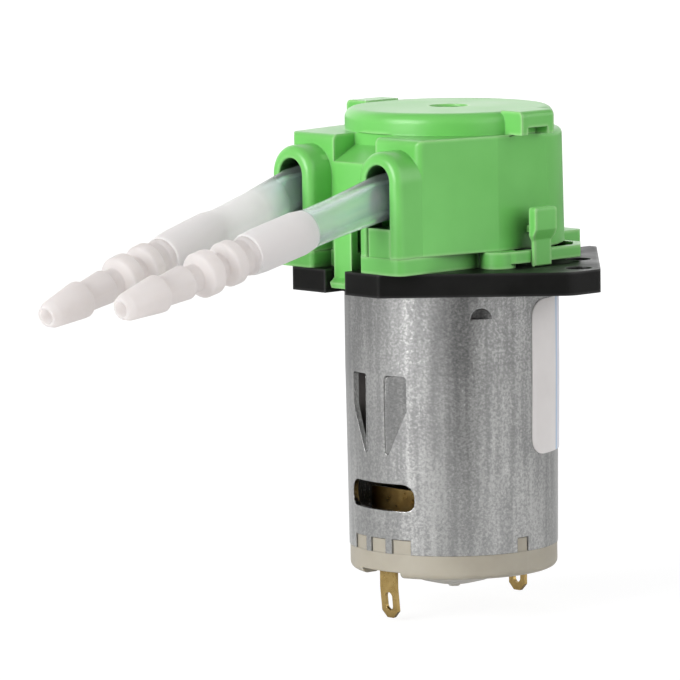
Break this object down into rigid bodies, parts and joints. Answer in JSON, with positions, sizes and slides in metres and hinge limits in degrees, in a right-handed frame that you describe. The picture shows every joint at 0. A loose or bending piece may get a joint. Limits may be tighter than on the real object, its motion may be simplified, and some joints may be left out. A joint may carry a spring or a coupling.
{
  "type": "peristaltic metering pump",
  "caption": "Small roller pump: clipped round head on an eared plate, silicone tube with barbed ends, brushed DC motor below.",
  "frame": {"origin": "on the motor's axis, in the plane of the mounting plate's underside", "axes": "+Z along the motor's axis, away from the motor and towards the cap; -Y towards the tube ports; X along the two ears"},
  "size_m": [0.0494, 0.0871, 0.0658],
  "materials": {
    "green_plastic": "satin moulded",
    "black_plastic": "fine matt moulded",
    "silicone": "translucent, smooth",
    "milky_plastic": "translucent natural moulding",
    "white_plastic": "smooth moulded",
    "zinc_steel": "zinc-plated, mottled",
    "ivory_plastic": "satin moulded",
    "brass": "dull pressed strip",
    "copper": "enamelled wire and turned copper",
    "ground_steel": "ground",
    "core_steel": "stacked laminations",
    "ferrite": "sintered",
    "bronze": "sintered bronze",
    "carbon": "pressed carbon",
    "drive_rubber": "moulded",
    "label": "satin film"
  },
  "bodies": {
    "housing": {"mounting_plate": "black_plastic", "pump_base": "green_plastic", "pump_cover": "green_plastic", "pump_tube": "silicone", "near_connector": "milky_plastic", "far_connector": "milky_plastic", "front_bearing": "bronze", "rear_bearing": "bronze", "motor_can": "zinc_steel", "field_magnets": "ferrite", "end_bell": "ivory_plastic", "terminal_front": "brass", "terminal_rear": "brass", "brush_arms": "brass", "carbon_brushes": "carbon", "motor_screws": "ground_steel", "bare_label": "label"},
    "latch_right": {"latch_right": "green_plastic"},
    "latch_left": {"latch_left": "green_plastic"},
    "rotor": {"motor_shaft": "ground_steel", "armature_core": "core_steel", "armature_windings": "copper", "commutator": "copper", "shaft_washers": "black_plastic", "drive_roller": "drive_rubber"},
    "carrier": {"carrier_lower": "white_plastic", "carrier_upper": "white_plastic", "roller_pins": "ground_steel"},
    "roller_1": {"roller_1": "white_plastic"},
    "roller_2": {"roller_2": "white_plastic"},
    "roller_3": {"roller_3": "white_plastic"}
  },
  "joints": [
    {"name": "motor_spin", "type": "hinge", "parent": "housing", "child": "rotor", "pos_m": [0, 0, 0], "axis": [0, 0, 1], "continuous": true},
    {"name": "carrier_spin", "type": "hinge", "parent": "housing", "child": "carrier", "pos_m": [0, 0, 0.0132], "axis": [0, 0, 1], "continuous": true},
    {"name": "roller_1_spin", "type": "hinge", "parent": "carrier", "child": "roller_1", "pos_m": [0.0066, 0, 0.0132], "axis": [0, 0, 1], "continuous": true},
    {"name": "roller_2_spin", "type": "hinge", "parent": "carrier", "child": "roller_2", "pos_m": [-0.0033, 0.00572, 0.0132], "axis": [0, 0, 1], "continuous": true},
    {"name": "roller_3_spin", "type": "hinge", "parent": "carrier", "child": "roller_3", "pos_m": [-0.0033, -0.00572, 0.0132], "axis": [0, 0, 1], "continuous": true},
    {"name": "latch_right_press", "type": "hinge", "parent": "housing", "child": "latch_right", "pos_m": [0.0167, 0, 0.00335], "axis": [0, 1, 0], "range_deg": [0, 8], "stiffness_Nm_per_rad": 0.02},
    {"name": "latch_left_press", "type": "hinge", "parent": "housing", "child": "latch_left", "pos_m": [-0.0167, 0, 0.00335], "axis": [0, -1, 0], "range_deg": [0, 8], "stiffness_Nm_per_rad": 0.02}
  ],
  "couplings": [
    {"joint": "carrier_spin", "follows": "motor_spin", "ratio": 0.1326},
    {"joint": "roller_1_spin", "follows": "motor_spin", "ratio": -0.3149},
    {"joint": "roller_2_spin", "follows": "motor_spin", "ratio": -0.3149},
    {"joint": "roller_3_spin", "follows": "motor_spin", "ratio": -0.3149}
  ]
}
